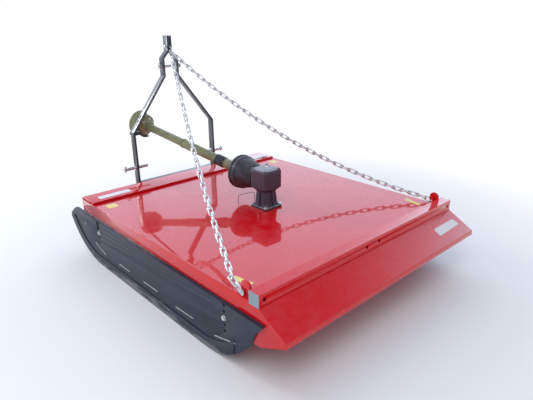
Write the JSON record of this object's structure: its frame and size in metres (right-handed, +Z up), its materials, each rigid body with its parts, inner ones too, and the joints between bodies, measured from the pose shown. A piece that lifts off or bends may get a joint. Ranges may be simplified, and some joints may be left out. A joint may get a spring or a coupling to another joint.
{
  "type": "tractor-mounted rotary cutter",
  "caption": "Three-point linkage rotary grass cutter: sheet-steel deck on two skids, chained mast, overhead gearbox, guarded drive shaft and a rotor with swinging blades.",
  "frame": {"origin": "middle of the machine's outer box on the ground, under the flat part of the skids", "axes": "+Y forward towards the tractor, +X to the right seen from behind, +Z up"},
  "size_m": [1.558, 2.052, 1.32],
  "materials": {
    "red_paint": "gloss",
    "plug_grey": "satin",
    "slate_paint": "satin",
    "mast_paint": "satin",
    "zinc": "satin",
    "casting": "painted",
    "black_plastic": "matte",
    "olive_plastic": "matte",
    "steel": "machined"
  },
  "bodies": {
    "frame": {"deck_plate": "red_paint", "front_strip": "red_paint", "front_apron": "red_paint", "side_plate_left": "red_paint", "side_plate_right": "red_paint", "rear_tube": "red_paint", "tube_plugs": "plug_grey", "rear_skirt": "red_paint", "chain_lug_left": "red_paint", "chain_lug_right": "red_paint", "lug_bolts": "zinc", "skid_left": "slate_paint", "skid_right": "slate_paint", "wear_strip_left": "slate_paint", "wear_strip_right": "slate_paint", "skid_bolts": "zinc", "mast_bar_left": "mast_paint", "mast_bar_right": "mast_paint", "mast_beam": "mast_paint", "top_link_pin": "zinc", "lower_pins": "zinc", "shaft_rest": "mast_paint", "chain_bolt": "zinc", "master_link": "zinc", "chain_left": "zinc", "chain_right": "zinc", "gearbox_housing": "casting", "gearbox_cover": "casting", "bell_guard": "black_plastic", "input_yoke": "steel"},
    "joint_cross": {"joint_cross": "steel"},
    "shaft_rear": {"rear_yoke": "steel", "guard_neck": "olive_plastic", "guard_collar": "black_plastic", "guard_outer_tube": "olive_plastic"},
    "shaft_front": {"guard_inner_tube": "olive_plastic", "guard_front_bell": "olive_plastic"},
    "shaft_drive": {"drive_tube": "steel", "front_cross": "steel", "front_yoke": "steel"},
    "rotor": {"rotor_hub": "slate_paint", "blade_carrier": "slate_paint", "blade_bolts": "zinc"},
    "blade_left": {"blade_left": "steel"},
    "blade_right": {"blade_right": "steel"}
  },
  "joints": [
    {"name": "rotor_spin", "type": "hinge", "parent": "frame", "child": "rotor", "pos_m": [0, -0.10101, 0.215], "axis": [0, 0, 1], "continuous": true},
    {"name": "blade_left_swing", "type": "hinge", "parent": "rotor", "child": "blade_left", "pos_m": [-0.43, -0.10101, 0.196], "axis": [0, 0, 1], "continuous": true},
    {"name": "blade_right_swing", "type": "hinge", "parent": "rotor", "child": "blade_right", "pos_m": [0.43, -0.10101, 0.196], "axis": [0, 0, 1], "continuous": true},
    {"name": "shaft_swing", "type": "hinge", "parent": "frame", "child": "joint_cross", "pos_m": [0, 0.07799, 0.536], "axis": [0, 0, 1], "range_deg": [-26.31, 0]},
    {"name": "shaft_lift", "type": "hinge", "parent": "joint_cross", "child": "shaft_rear", "pos_m": [0, 0.07799, 0.536], "axis": [0.9738, 0.2276, 0], "range_deg": [0, 0.6]},
    {"name": "shaft_slide", "type": "slide", "parent": "shaft_rear", "child": "shaft_front", "axis": [-0.2216, 0.9483, 0.2271], "range_m": [0, 0.12]},
    {"name": "shaft_spin", "type": "hinge", "parent": "shaft_front", "child": "shaft_drive", "pos_m": [-0.2028, 0.94569, 0.74383], "axis": [-0.2216, 0.9483, 0.2271], "continuous": true}
  ],
  "couplings": [
    {"joint": "shaft_spin", "follows": "rotor_spin", "ratio": 0.52}
  ]
}
